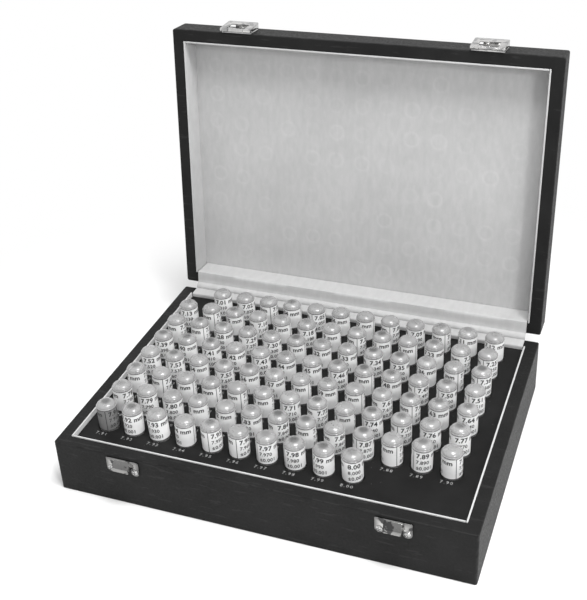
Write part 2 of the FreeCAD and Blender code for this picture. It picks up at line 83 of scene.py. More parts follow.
FLOOR_LOW, FLOOR_HIGH = local_box("base_floor")
RIM = local_box("base_front_wall")[1].z
INNER_X = local_box("base_left_lining")[0].x * -1
INNER_FRONT = local_box("base_front_lining")[0].y
LINED_FRONT = local_box("base_front_lining")[1].y
LINED_X = local_box("base_left_lining")[1].x * -1
INNER_BACK = local_box("base_left_lining")[1].y
PLATE_LOW, PLATE_HIGH = local_box("gauge_plate")
LID_LOW, LID_HIGH = local_box("lid_panel", LID)
LID_RIM = local_box("lid_front_wall", LID)[0].z
PAD_LOW, PAD_HIGH = local_box("lid_pad", LID)
TUBE_LOW, TUBE_HIGH = local_box("tube_row_1")
CAP_TOP = local_box("cap_row_1")[1].z
GAUGE_LOW, GAUGE_HIGH = local_box("gauge_row_1")


def stations(number):
    """Where the tubes of one row stand, from left to right."""
    low, high = local_box(f"gauge_row_{number}")
    count = round((high.x - low.x) / PITCH) + (0 if (high.x - low.x) % PITCH > PITCH / 2 else 1)
    middle = (low + high) / 2
    first = middle.x - (count - 1) / 2 * PITCH
    return [Vector((first + i * PITCH, middle.y, 0)) for i in range(count)]


# ---------------------------------------------------------------- node trees
class Shade:
    """A material with one Principled shader, and short calls that wire its nodes."""

    def __init__(self, name, colour=(0.5, 0.5, 0.5), rough=0.5, metal=0.0, **sockets):
        self.material = bpy.data.materials.new(name)
        self.material.use_nodes = True
        self.tree = self.material.node_tree
        self.shader = self.tree.nodes["Principled BSDF"]
        self.set("Base Color", colour)
        self.set("Roughness", rough)
        self.set("Metallic", metal)
        for socket, number in sockets.items():
            self.set(socket.replace("_", " "), number)
        self.place = self.node("ShaderNodeTexCoord").outputs["Object"]
        self.last_normal = None

    def set(self, socket, number):
        numbers = (*number, 1) if isinstance(number, tuple) and len(number) == 3 else number
        self.shader.inputs[socket].default_value = numbers

    def node(self, kind, **settings):
        made = self.tree.nodes.new(kind)
        for name, setting in settings.items():
            setattr(made, name, setting)
        return made

    def join(self, out, into):
        self.tree.links.new(out, into)

    def stretched(self, stretch):
        mapping = self.node("ShaderNodeMapping")
        mapping.inputs["Scale"].default_value = stretch
        self.join(self.place, mapping.inputs["Vector"])
        return mapping.outputs["Vector"]

    def noise(self, scale, detail=3.0, stretch=(1, 1, 1), rough=0.55):
        made = self.node("ShaderNodeTexNoise")
        made.inputs["Scale"].default_value = scale
        made.inputs["Detail"].default_value = detail
        made.inputs["Roughness"].default_value = rough
        self.join(self.stretched(stretch), made.inputs["Vector"])
        return made.outputs["Fac"]

    def cells(self, scale, stretch=(1, 1, 1), feature="F1"):
        made = self.node("ShaderNodeTexVoronoi", feature=feature)
        made.inputs["Scale"].default_value = scale
        self.join(self.stretched(stretch), made.inputs["Vector"])
        return made.outputs["Distance"]

    def ramp(self, fac, stops):
        made = self.node("ShaderNodeValToRGB")
        elements = made.color_ramp.elements
        while len(elements) < len(stops):
            elements.new(0.5)
        for element, (place, colour) in zip(elements, stops):
            element.position = place
            element.color = (*colour, 1) if isinstance(colour, tuple) else (colour,) * 3 + (1,)
        self.join(fac, made.inputs["Fac"])
        return made.outputs["Color"]

    def math(self, kind, a, b=0.5, c=None):
        made = self.node("ShaderNodeMath", operation=kind)
        for socket, given in zip(made.inputs, (a, b, c)):
            if given is None:
                continue
            if isinstance(given, (int, float)):
                socket.default_value = given
            else:
                self.join(given, socket)
        return made.outputs[0]

    def mix(self, fac, a, b):
        made = self.node("ShaderNodeMix", data_type="RGBA")
        for socket, given in ((made.inputs[0], fac), (made.inputs[6], a), (made.inputs[7], b)):
            if isinstance(given, (tuple, float, int)):
                socket.default_value = (*given, 1) if isinstance(given, tuple) else given
            else:
                self.join(given, socket)
        return made.outputs[2]

    def edge_wear_and_glint(self, amount):
        """How much of an edge is lightened, broken up by noise: rubbed wear on the cloth, a painted highlight
        on the plating.
        """
        edges = self.node("ShaderNodeNewGeometry").outputs["Pointiness"]
        edge = self.math("MULTIPLY", self.math("SUBTRACT", edges, 0.515), 9, None)
        patches = self.math("GREATER_THAN", self.noise(130, 4), 0.47)
        clipped = self.math("MINIMUM", self.math("MAXIMUM", edge, 0.0), 1.0)
        return self.math("MULTIPLY", self.math("MULTIPLY", clipped, patches), amount)

    def attribute(self, name):
        return self.node("ShaderNodeAttribute", attribute_name=name).outputs["Fac"]

    def colour(self, out):
        self.join(out, self.shader.inputs["Base Color"])
        return self

    def rough(self, out):
        self.join(out, self.shader.inputs["Roughness"])
        return self

    def bump(self, height, distance, strength=1.0):
        """Adds one more bump over those already there."""
        made = self.node("ShaderNodeBump")
        made.inputs["Distance"].default_value = distance
        made.inputs["Strength"].default_value = strength
        self.join(height, made.inputs["Height"])
        if self.last_normal is not None:
            self.join(self.last_normal, made.inputs["Normal"])
        self.last_normal = made.outputs["Normal"]
        self.join(self.last_normal, self.shader.inputs["Normal"])
        return self


def leathercloth():
    """Black grained bookcloth over board, with a fine grain along X and lighter rubbed spots."""
    shade = Shade("leathercloth", rough=0.5, IOR=1.45, Specular_IOR_Level=0.15)
    mottle = shade.noise(35, 4)
    streak = shade.noise(420, 3, (0.12, 1, 1))
    base = shade.ramp(mottle, [(0.3, 0.008), (0.7, 0.013)])
    rubbed = shade.math("MULTIPLY", shade.math("GREATER_THAN", streak, 0.63), 0.4)
    grained = shade.mix(rubbed, base, (0.03, 0.03, 0.03))
    shade.colour(shade.mix(shade.edge_wear_and_glint(0.55), grained, (0.10, 0.10, 0.10)))
    shade.rough(shade.ramp(shade.noise(600, 2), [(0.3, 0.42), (0.7, 0.62)]))
    shade.bump(shade.cells(2600), 0.00012, 0.55)
    shade.bump(streak, 0.0001, 0.4)
    return shade.material


def flock(name, light, dark):
    """Short-piled pale cloth: fine mottling, a nap that catches light, tiny loose fibres."""
    shade = Shade(name, rough=0.92, Sheen_Weight=0.25, Sheen_Roughness=0.5)
    nap = shade.noise(1500, 3)
    cloud = shade.noise(22, 5)
    weave = shade.noise(260, 3, (1, 0.35, 0.35))
    blend = shade.math("ADD", shade.math("MULTIPLY", cloud, 0.45), shade.math("MULTIPLY", weave, 0.55))
    base = shade.ramp(blend, [(0.36, dark), (0.64, light)])
    fleck = shade.math("MULTIPLY", shade.math("GREATER_THAN", nap, 0.6), 0.14)
    flecked = shade.mix(fleck, base, (light * 0.75,) * 3)
    pressed = shade.math("MULTIPLY", shade.attribute("shade"), 0.14)
    shade.colour(shade.mix(pressed, flecked, (min(light * 1.5, 0.85),) * 3))
    shade.bump(nap, 0.00015, 0.6)
    shade.bump(shade.noise(160, 4), 0.0002, 0.35)
    return shade.material


def plate_black():
    """Satin black laminate with a trace of dust."""
    shade = Shade("plate_black", rough=0.45, IOR=1.45, Specular_IOR_Level=0.15)
    base = shade.ramp(shade.noise(40, 4), [(0.35, 0.007), (0.7, 0.012)])
    specks = shade.math("LESS_THAN", shade.cells(230), 0.055)
    thinned = shade.math("MULTIPLY", specks, shade.math("GREATER_THAN", shade.noise(18, 2), 0.58))
    shade.colour(shade.mix(shade.math("MULTIPLY", thinned, 0.45), base, (0.22, 0.22, 0.22)))
    shade.rough(shade.ramp(shade.noise(90, 3), [(0.3, 0.38), (0.7, 0.55)]))
    shade.bump(shade.noise(1400, 2), 0.00005, 0.5)
    return shade.material


def paper(name, dark, light):
    shade = Shade(name, rough=0.6)
    shade.colour(shade.ramp(shade.noise(140, 3), [(0.3, dark), (0.7, light)]))
    shade.bump(shade.noise(2500, 2), 0.00003, 0.5)
    return shade.material


def ink(name, dark, light):
    """Print that is a little uneven."""
    shade = Shade(name, rough=0.55)
    shade.colour(shade.ramp(shade.noise(900, 3), [(0.35, dark), (0.65, light)]))
    return shade.material


def cap_plastic():
    """Frosted clear polythene, milky where it is thick, with painted shade in the middle where the tube's dark
    inside and the pin's end would show through.
    """
    shade = Shade("cap_plastic", rough=0.24, IOR=1.48, Transmission_Weight=0.3,
                  Coat_Weight=0.5, Coat_Roughness=0.1)
    milky = shade.ramp(shade.noise(70, 3), [(0.3, 0.34), (0.7, 0.44)])
    # Painted shade: the shade attribute darkens each cap's middle towards near black.
    shade.colour(shade.mix(shade.attribute("shade"), milky, (0.09, 0.09, 0.09)))
    shade.rough(shade.ramp(shade.noise(160, 2), [(0.3, 0.2), (0.7, 0.32)]))
    shade.bump(shade.noise(180, 2), 0.00006, 0.25)
    return shade.material


def tube_plastic():
    shade = Shade("tube_plastic", rough=0.12, IOR=1.49, Transmission_Weight=0.85)
    shade.colour(shade.ramp(shade.noise(150, 2), [(0.3, 0.72), (0.7, 0.84)]))
    shade.bump(shade.noise(260, 2), 0.00005, 0.3)
    return shade.material


def steel():
    """Ground steel, with its grinding lines round the bar."""
    shade = Shade("ground_steel", rough=0.2, metal=1.0)
    lines = shade.noise(500, 2, (0.2, 0.2, 8))
    shade.colour(shade.ramp(lines, [(0.3, 0.48), (0.7, 0.6)]))
    shade.rough(shade.ramp(lines, [(0.3, 0.14), (0.7, 0.26)]))
    shade.bump(lines, 0.00001, 0.4)
    return shade.material


def chrome(name="plated_steel", light=0.42):
    """Plating over stamped sheet, with soft die marks, duller spots and painted highlights along its edges."""
    shade = Shade(name, rough=0.16, metal=1.0)
    spots = shade.noise(260, 4)
    plated = shade.ramp(spots, [(0.3, light * 0.72), (0.62, light)])
    # Painted highlight: the edges are lifted to near white, standing in for glints of light along the plating's
    # edges.
    shade.colour(shade.mix(shade.edge_wear_and_glint(0.5), plated, (0.93, 0.92, 0.9)))
    shade.rough(shade.ramp(shade.noise(700, 3), [(0.35, 0.1), (0.75, 0.32)]))
    shade.bump(shade.noise(420, 3), 0.00008, 0.35)
    return shade.material


def softwood():
    shade = Shade("softwood", rough=0.7)
    grain = shade.noise(90, 4, (0.15, 0.15, 3))
    shade.colour(shade.ramp(grain, [(0.3, (0.34, 0.25, 0.15)), (0.7, (0.55, 0.43, 0.28))]))
    shade.bump(grain, 0.0002, 0.4)
    return shade.material


LOOKS = {
    "case": leathercloth(), "flock": flock("flock", 0.54, 0.46),
    "lid_flock": flock("lid_flock", 0.46, 0.405), "plate": plate_black(),
    "paper": paper("label_paper", 0.84, 0.92),
    "grey_paper": paper("label_paper_painted_shadow", 0.17, 0.24), "print": ink("label_print", 0.012, 0.04),
    "plate_print": ink("plate_print", 0.16, 0.4), "cap": cap_plastic(), "tube": tube_plastic(),
    "steel": steel(), "chrome": chrome(),
    # The keepers' plating is painted near black: painted shade standing in for the dark reflections of chrome
    # that faces the front.
    "dull_chrome": chrome("plating_painted_dark", 0.075), "wood": softwood(),
}


# ---------------------------------------------------------------- mesh tools
def made(name, points, faces, look, body, slot, sharp=35, bevel=0.0, turn=None, nodes=(),
         shade=None):
    """One piece from points and faces, closed, softened, placed and set to ride on its body."""
    mesh = bpy.data.meshes.new(name)
    mesh.from_pydata([tuple(p) for p in points], [], [tuple(f) for f in faces])
    mesh.validate()
    if shade is not None:
        layer = mesh.attributes.new("shade", "FLOAT", "POINT")
        layer.data.foreach_set("value", [float(amount) for amount in shade])
    bm = bmesh.new()
    bm.from_mesh(mesh)
    bmesh.ops.recalc_face_normals(bm, faces=bm.faces)
    if bevel:
        edges = [e for e in bm.edges if e.calc_face_angle(0) > math.radians(sharp)]
        bmesh.ops.bevel(bm, geom=edges, offset=bevel, segments=2, profile=0.6, affect="EDGES",
                        clamp_overlap=True)
    if turn is not None:
        bm.transform(turn)
    for face in bm.faces:
        face.smooth = True
    for edge in bm.edges:
        edge.smooth = edge.calc_face_angle(0) < math.radians(sharp)
    bm.to_mesh(mesh)
    bm.free()
    piece = bpy.data.objects.new(name, mesh)
    bpy.context.scene.collection.objects.link(piece)
    mesh.materials.append(LOOKS[look])
    if body:
        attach(piece, body)
    if nodes:
        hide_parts(*nodes)
    return piece


def gather(parts):
    """Joins (points, faces) pairs into one."""
    points, faces = [], []
    for some_points, some_faces in parts:
        start = len(points)
        points.extend(some_points)
        faces.extend(tuple(i + start for i in face) for face in some_faces)
    return points, faces


def moved(part, matrix):
    points, faces = part
    return [matrix @ Vector(p) for p in points], faces


def lathe(profile, segments=32, loop=False):
    """Turns a profile of (radius, height) about Z.  A loop is a closed section; radius 0 is a pole."""
    points, rings = [], []
    for radius, height in profile:
        if radius == 0:
            rings.append([len(points)])
            points.append(Vector((0, 0, height)))
            continue
        rings.append(list(range(len(points), len(points) + segments)))
        for i in range(segments):
            turn = 2 * math.pi * i / segments
            points.append(Vector((radius * math.cos(turn), radius * math.sin(turn), height)))
    faces = []
    pairs = list(zip(rings, rings[1:] + rings[:1])) if loop else list(zip(rings, rings[1:]))
    for low, high in pairs:
        for i in range(segments):
            j = (i + 1) % segments
            corners = [low[i % len(low)], low[j % len(low)], high[j % len(high)], high[i % len(high)]]
            faces.append(tuple(dict.fromkeys(corners)))
    return points, faces


def slab(outline, low, high):
    """An outline in X and Y, drawn from one height to another."""
    count = len(outline)
    points = [Vector((x, y, low)) for x, y in outline] + [Vector((x, y, high)) for x, y in outline]
    faces = [tuple(range(count))[::-1], tuple(range(count, 2 * count))]
    faces += [(i, (i + 1) % count, count + (i + 1) % count, count + i) for i in range(count)]
    return points, faces


def rounded_corner(x, y, radius, start, steps=6):
    """Points of a quarter circle about x, y, from an angle in degrees."""
    turns = [math.radians(start + 90 * i / steps) for i in range(steps + 1)]
    return [(x + radius * math.cos(t), y + radius * math.sin(t)) for t in turns]


def eased_rectangle(low, high, radius, ease):
    """A rounded rectangle with a point a little before and after each corner."""
    (x0, y0), (x1, y1) = low, high
    outline = []
    for x, y, start in ((x1 - radius, y1 - radius, 0), (x0 + radius, y1 - radius, 90),
                        (x0 + radius, y0 + radius, 180), (x1 - radius, y0 + radius, 270)):
        arc = rounded_corner(x, y, radius, start, 4)
        a = math.radians(start)
        before = (arc[0][0] + ease * math.sin(a), arc[0][1] - ease * math.cos(a))
        after = (arc[-1][0] - ease * math.cos(a), arc[-1][1] - ease * math.sin(a))
        outline += [before] + arc + [after]
    return outline


def rounded_rectangle(low, high, radius, steps=6):
    """Counter-clockwise from the corner at high x and high y."""
    (x0, y0), (x1, y1) = low, high
    return (rounded_corner(x1 - radius, y1 - radius, radius, 0, steps)
            + rounded_corner(x0 + radius, y1 - radius, radius, 90, steps)
            + rounded_corner(x0 + radius, y0 + radius, radius, 180, steps)
            + rounded_corner(x1 - radius, y0 + radius, radius, 270, steps))


# Turns that set a slab's X and Y onto the planes of the case.
FACING_FRONT = Matrix.Rotation(math.pi / 2, 4, "X")
ALONG_X = Matrix(((0, 0, 1, 0), (1, 0, 0, 0), (0, 1, 0, 0), (0, 0, 0, 1)))


# ---------------------------------------------------------------- case
CORNER = 1.6 * MM
EDGE = 0.7 * MM
INSIDE_EDGE = 0.4 * MM
EASE = 1.2 * MM


def tray(low, high, floor, rim, wall):
    """A covered tray: its rings climb outside, go over the rim and down to the floor inside."""
    rise = 1 if rim > low.z else -1
    rings = []

    def ring(inset, height, radius):
        corners = ((low.x + inset, low.y + inset), (high.x - inset, high.y - inset))
        rings.append([Vector((x, y, height)) for x, y in eased_rectangle(*corners, radius, EASE)])

    def turn_over(start_inset, height, size, first, last, radius, grow):
        """A rounded edge of the given size about a point inside the board."""
        for step in range(5):
            angle = math.radians(first + (last - first) * step / 4)
            inset = start_inset - size * math.cos(angle)
            ring(inset, height + rise * size * math.sin(angle), max(radius + grow * inset, 0.0004))

    ring(EDGE + EASE, low.z, CORNER)
    turn_over(EDGE, low.z + rise * EDGE, EDGE, -90, 0, CORNER, -1)
    ring(0, low.z + rise * (EDGE + EASE), CORNER)
    ring(0, rim - rise * (EDGE + EASE), CORNER)
    turn_over(EDGE, rim - rise * EDGE, EDGE, 0, 90, CORNER, -1)
    ring(EDGE + EASE, rim, CORNER - EDGE)
    ring(wall - INSIDE_EDGE - EASE, rim, 0.8 * MM)
    turn_over(wall - INSIDE_EDGE, rim - rise * INSIDE_EDGE, INSIDE_EDGE, 90, 180, 0.8 * MM, 0)
    ring(wall, rim - rise * (INSIDE_EDGE + EASE), 0.8 * MM)
    ring(wall, floor, 0.8 * MM)
    points = [p for r in rings for p in r]
    count = len(rings[0])
    faces = [tuple(range(count))[::-1]]
    for level in range(len(rings) - 1):
        a, b = level * count, (level + 1) * count
        faces += [(a + i, a + (i + 1) % count, b + (i + 1) % count, b + i) for i in range(count)]
    faces.append(tuple(range(len(points) - count, len(points))))
    return points, faces


def build_case():
    low = Vector((FLOOR_LOW.x, FLOOR_LOW.y, 0))
    high = Vector((FLOOR_HIGH.x, FLOOR_HIGH.y, RIM))
    wall = FLOOR_HIGH.x - INNER_X
    points, faces = tray(low, high, FLOOR_HIGH.z, RIM, wall)
    made("base_covered_box", points, faces, "case", "base", "case_covering", sharp=50,
         nodes=["base_floor"] + [f"base_{side}_wall" for side in ("front", "back", "left", "right")])
    top = Vector((LID_LOW.x, LID_LOW.y, LID_HIGH.z))
    end = Vector((LID_HIGH.x, LID_HIGH.y, LID_RIM))
    points, faces = tray(top, end, LID_LOW.z, LID_RIM, wall)
    made("lid_covered_box", points, faces, "case", "lid", "case_covering", sharp=50, turn=LID,
         nodes=["lid_panel"] + [f"lid_{side}_wall" for side in ("front", "back", "left", "right")])
    for side in ("front", "left", "right"):
        lining("base", side, "flock", None)
        lining("lid", side, "lid_flock", LID)
    for name in ("left_batten", "right_batten", "front_batten", "back_batten"):
        dress(name, "wood")


STRIP = 1.1 * MM


def lining(part, side, look, turn):
    """A strip against a wall's inside, covered with cloth and so a little rounded."""
    low, high = local_box(f"{part}_{side}_lining", turn)
    if side == "left":
        high.x = low.x + STRIP
    elif side == "right":
        low.x = high.x - STRIP
    else:
        high.y = low.y + STRIP
    corners = [(low.x, low.y), (high.x, low.y), (high.x, high.y), (low.x, high.y)]
    made(f"{part}_{side}_lining_strip", *slab(corners, low.z, high.z), look, part, "lining",
         bevel=0.3 * MM, turn=turn, nodes=[f"{part}_{side}_lining"])


def dress(node, look):
    """Gives a CAD node its material."""
    materials = frame["nodes"][node].data.materials
    materials.clear()
    materials.append(LOOKS[look])


# ---------------------------------------------------------------- cloth
CLOTH = 0.5 * MM
CAP_RADIUS = 7.2 * MM


def cap_prints():
    """Where the caps press on the lid's cloth when it is shut, in the lid's frame."""
    prints = []
    for number in ROWS:
        for spot in stations(number):
            drift = Vector((rng.uniform(-1, 1), rng.uniform(-1, 1))) * 0.8 * MM
            prints.append((spot.x + drift.x, spot.y - HINGE.y + drift.y, rng.uniform(0.2, 1.0)))
    return prints


def build_lid_cloth():
    """The cloth on the lid's panel: a little slack, with faint rings where caps have pressed."""
    cell = 1.25 * MM
    inset = 0.3 * MM
    x0, x1 = PAD_LOW.x + inset, PAD_HIGH.x - inset
    y0, y1 = PAD_LOW.y + inset, PAD_HIGH.y - inset
    columns, rows = int((x1 - x0) / cell), int((y1 - y0) / cell)
    xs, ys = np.meshgrid(np.linspace(x0, x1, columns + 1), np.linspace(y0, y1, rows + 1))
    dent = np.zeros_like(xs)
    for x, y, strength in cap_prints():
        away = np.hypot(xs - x, ys - y)
        dent += strength * np.exp(-((away - 5.6 * MM) / (0.9 * MM)) ** 2)
    slack = np.sin(xs * 61 + 1.3) * np.sin(ys * 83 + 0.4) + 0.5 * np.sin(xs * 23 - ys * 41)
    face = PAD_LOW.z + 0.12 * MM + 0.1 * MM * dent + 0.05 * MM * slack
    back = np.full_like(face, PAD_HIGH.z)
    grid = (columns + 1) * (rows + 1)
    points = [Vector(p) for p in zip(xs.ravel(), ys.ravel(), face.ravel())]
    points += [Vector(p) for p in zip(xs.ravel(), ys.ravel(), back.ravel())]
    shade = np.concatenate([dent.ravel(), np.zeros(grid)])
    faces = []
    wide = columns + 1
    for r in range(rows):
        for c in range(columns):
            a = r * wide + c
            faces.append((a, a + 1, a + wide + 1, a + wide))
    edge = ([c for c in range(wide)] + [r * wide + columns for r in range(1, rows + 1)]
            + [rows * wide + c for c in range(columns - 1, -1, -1)]
            + [r * wide for r in range(rows - 1, 0, -1)])
    for a, b in zip(edge, edge[1:] + edge[:1]):
        faces.append((a, b, b + grid, a + grid))
    faces.append(tuple(i + grid for i in edge))
    cloth = made("lid_cloth", points, faces, "lid_flock", "lid", "cloth", sharp=60, turn=LID,
                 nodes=["lid_pad"], shade=shade)


def flap_line():
    """The middle line of the hinge cloth, from the plate up over both rims into the lid."""
    wall = INNER_BACK - HINGE.y - 0.25 * MM
    bottom = PLATE_LOW.z + 1.5 * MM - HINGE.z
    rim = 0.25 * MM - LID_RIM
    ceiling = PAD_LOW.z - 0.3 * MM
    turn = Matrix.Rotation(-OPEN, 3, "X")
    reach = math.hypot(HINGE.y - FLOOR_HIGH.y, HINGE.z - RIM) + 0.35 * MM
    line = [Vector((0, wall, bottom + (rim - 0.6 * MM - bottom) * i / 4)) for i in range(5)]
    line += [Vector((0, wall + 0.25 * MM, rim - 0.1 * MM)), Vector((0, wall + 0.9 * MM, rim))]
    line += [Vector((0, wall + (-reach - wall) * i / 5, rim)) for i in range(2, 5)]
    for i in range(9):
        angle = -OPEN * i / 8
        line.append(Matrix.Rotation(angle, 3, "X") @ Vector((0, -reach, rim + (LID_RIM * 0.4) * i / 8)))
    lid_rim = LID_RIM - 0.55 * MM
    line += [turn @ Vector((0, -reach + (wall - 0.3 * MM + reach) * i / 5, lid_rim)) for i in range(1, 5)]
    line += [turn @ Vector((0, wall - 0.2 * MM, lid_rim + 0.2 * MM)),
             turn @ Vector((0, wall - 0.45 * MM, lid_rim + 0.9 * MM))]
    line += [turn @ Vector((0, wall - 0.3 * MM, lid_rim + 1.2 * MM + (ceiling - lid_rim - 1.2 * MM) * i / 6))
             for i in range(1, 7)]
    return [p + HINGE for p in line]


def build_flap():
    """Cloth over the hinge side, slightly rippled across its width."""
    half = LINED_X - 0.3 * MM
    line = flap_line()
    columns = 60
    count = len(line)
    lengths = [0.0]
    for a, b in zip(line, line[1:]):
        lengths.append(lengths[-1] + (b - a).length)
    normals = []
    for i in range(count):
        along = (line[min(i + 1, count - 1)] - line[max(i - 1, 0)]).normalized()
        normals.append(Vector((0, -along.z, along.y)))
    sides = []
    for side in (1, -1):
        rows = []
        for i in range(count):
            row = []
            for c in range(columns + 1):
                x = -half + 2 * half * c / columns
                swell = math.sin(math.pi * i / (count - 1))
                ripple = 0.05 * MM * math.sin(x * 70 + 40 * lengths[i]) * swell
                row.append(line[i] + Vector((x, 0, 0)) + normals[i] * (side * CLOTH / 2 * 0.9 + ripple))
            rows.append(row)
        sides.append(rows)
    points = [p for rows in sides for row in rows for p in row]
    wide = columns + 1
    grid = wide * count
    faces = []
    for r in range(count - 1):
        for c in range(columns):
            a = r * wide + c
            faces.append((a, a + 1, a + wide + 1, a + wide))
            faces.append((a + grid, a + wide + grid, a + wide + 1 + grid, a + 1 + grid))
    edge = ([c for c in range(wide)] + [r * wide + columns for r in range(1, count)]
            + [(count - 1) * wide + c for c in range(columns - 1, -1, -1)]
            + [r * wide for r in range(count - 2, 0, -1)])
    for a, b in zip(edge, edge[1:] + edge[:1]):
        faces.append((a, b, b + grid, a + grid))
    cloth = made("hinge_cloth", points, faces, "lid_flock", None, "cloth", sharp=60,
                 nodes=["hinge_flap"])
    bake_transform(cloth)


# ---------------------------------------------------------------- plate
HOLE = 7.55 * MM


def boolean(piece, cutter, kind="DIFFERENCE"):
    """Cuts one mesh by another and keeps the result as the piece's mesh."""
    modifier = piece.modifiers.new("cut", "BOOLEAN")
    modifier.operation = kind
    modifier.object = cutter
    modifier.solver = "EXACT"
    graph = bpy.context.evaluated_depsgraph_get()
    mesh = bpy.data.meshes.new_from_object(piece.evaluated_get(graph))
    piece.modifiers.clear()
    piece.data = mesh
    bpy.data.objects.remove(cutter)


def build_plate():
    outline = rounded_rectangle((PLATE_LOW.x, PLATE_LOW.y), (PLATE_HIGH.x, PLATE_HIGH.y), 0.6 * MM, 2)
    plate = made("drilled_plate", *slab(outline, PLATE_LOW.z, PLATE_HIGH.z), "plate", "base",
                 "rack_plate", nodes=["gauge_plate"])
    soft = 0.35 * MM
    drill = lathe([(0, PLATE_LOW.z - MM), (HOLE, PLATE_LOW.z - MM), (HOLE, PLATE_HIGH.z - soft),
                   (HOLE + soft, PLATE_HIGH.z), (HOLE + soft, PLATE_HIGH.z + MM),
                   (0, PLATE_HIGH.z + MM)], 32)
    drills = gather([moved(drill, Matrix.Translation(spot)) for n in ROWS for spot in stations(n)])
    cutter = made("drills", *drills, "plate", None, "rack_plate")
    boolean(plate, cutter)


# ---------------------------------------------------------------- print
letter_cache = {}


def lettering(text, height, weight=0.0, tracking=1.0):
    """Flat letters of the given digit height, from their left end, as points and faces."""
    key = (text, weight, tracking)
    if key not in letter_cache:
        curve = bpy.data.curves.new("letters", "FONT")
        curve.body = text
        curve.resolution_u = 2
        curve.offset = weight
        curve.space_character = tracking
        writer = bpy.data.objects.new("letters", curve)
        bpy.context.scene.collection.objects.link(writer)
        graph = bpy.context.evaluated_depsgraph_get()
        mesh = bpy.data.meshes.new_from_object(writer.evaluated_get(graph))
        bpy.data.objects.remove(writer)
        bpy.data.curves.remove(curve)
        letter_cache[key] = mesh
    return letter_cache[key], height / 0.70


def flat_print(text, height, weight=0.0, tracking=1.0, strip=None):
    """Letters cut into strips that are narrow enough to bend round a tube."""
    mesh, scale = lettering(text, height, weight, tracking)
    bm = bmesh.new()
    bm.from_mesh(mesh)
    bm.transform(Matrix.Scale(scale, 4))
    if strip:
        right = max(v.co.x for v in bm.verts)
        for i in range(int(right / strip) + 1):
            geometry = bm.verts[:] + bm.edges[:] + bm.faces[:]
            bmesh.ops.bisect_plane(bm, geom=geometry, plane_co=(strip * (i + 0.5), 0, 0),
                                   plane_no=(1, 0, 0), dist=1e-7)
    bm.verts.index_update()
    points = [v.co.copy() for v in bm.verts]
    faces = [tuple(v.index for v in f.verts) for f in bm.faces]
    bm.free()
    return points, faces


def wrapped(part, radius, start, base):
    """Bends flat letters round a tube of that radius, from a start angle and a base height."""
    points, faces = part
    bent = []
    for p in points:
        turn = start + p.x / radius
        bent.append(Vector((radius * math.cos(turn), radius * math.sin(turn), base + p.y)))
    return bent, faces


# ---------------------------------------------------------------- gauges
TUBE_RADIUS = 7 * MM
LABEL_RADIUS = 7.08 * MM
LABEL_BOTTOM = PLATE_HIGH.z + 0.5 * MM
LABEL_TOP = TUBE_HIGH.z - 0.1 * MM
PRINT_RADIUS = LABEL_RADIUS + 0.02 * MM


def leaning(spot, lean, heading):
    """A tube tips about the hole that it stands in."""
    at = Vector((spot.x, spot.y, PLATE_HIGH.z - 1.5 * MM))
    axis = Vector((math.cos(heading), math.sin(heading), 0))
    foot = Matrix.Translation(-Vector((0, 0, at.z)))
    return Matrix.Translation(at) @ Matrix.Rotation(lean, 4, axis) @ foot


def tube():
    """A blind tube with a rounded foot and mouth."""
    foot, mouth, inner = TUBE_LOW.z, TUBE_HIGH.z - 0.05 * MM, TUBE_RADIUS - MM
    soft = 0.5 * MM
    return lathe([(0, foot), (TUBE_RADIUS - soft, foot), (TUBE_RADIUS, foot + soft),
                  (TUBE_RADIUS, mouth - 0.2 * MM), (TUBE_RADIUS - 0.2 * MM, mouth),
                  (inner + 0.2 * MM, mouth), (inner, mouth - 0.2 * MM), (inner, foot + MM),
                  (0, foot + MM)], 40)


def cap():
    """A flanged stopper with a low dome and a plug inside the tube's mouth."""
    foot = TUBE_HIGH.z
    rise = CAP_TOP - foot
    radius = CAP_RADIUS
    dome = [((radius - 0.5 * MM) * math.cos(t), foot + 0.8 * MM + (rise - 0.8 * MM) * math.sin(t))
            for t in (math.pi / 2 * i / 10 for i in range(10))]
    return lathe([(0, foot - 1.4 * MM), (4.9 * MM, foot - 1.4 * MM), (5.5 * MM, foot - 0.9 * MM),
                  (5.5 * MM, foot), (radius - 0.15 * MM, foot), (radius, foot + 0.15 * MM),
                  (radius, foot + 0.55 * MM), (radius - 0.15 * MM, foot + 0.75 * MM)]
                 + dome + [(0, foot + rise)], 40)


def gauge(radius):
    """A pin with ground ends and a small chamfer."""
    soft = 0.3 * MM
    low, high = GAUGE_LOW.z, GAUGE_HIGH.z
    return lathe([(0, low), (radius - soft, low), (radius, low + soft), (radius, high - soft),
                  (radius - soft, high), (0, high)], 32)


def label_band():
    """Paper round a tube, as a plain closed band; its lapped outer end shows only as the seam line printed on
    it.
    """
    wall = LABEL_RADIUS - TUBE_RADIUS
    inside = TUBE_RADIUS + 0.01 * MM
    return lathe([(inside, LABEL_BOTTOM), (inside + wall - 0.01 * MM, LABEL_BOTTOM),
                  (inside + wall - 0.01 * MM, LABEL_TOP), (inside, LABEL_TOP)], 40, loop=True)


def ruled(bottom, top):
    """A printed rule round the label between two heights."""
    points, faces = [], []
    steps = 40
    for i in range(steps):
        turn = 2 * math.pi * i / steps
        for height in (bottom, top):
            points.append(Vector((PRINT_RADIUS * math.cos(turn), PRINT_RADIUS * math.sin(turn), height)))
        a, b = 2 * i, 2 * ((i + 1) % steps)
        faces.append((a, b, b + 1, a + 1))
    return points, faces


def seam_line():
    """The dark line where the label's ends meet."""
    half = 0.22 * MM
    points = [(-half, LABEL_BOTTOM), (half, LABEL_BOTTOM), (half, LABEL_TOP), (-half, LABEL_TOP)]
    flat = [Vector((x, z, 0)) for x, z in points]
    return wrapped((flat, [(0, 1, 2, 3)]), PRINT_RADIUS + 0.01 * MM, 0, 0)


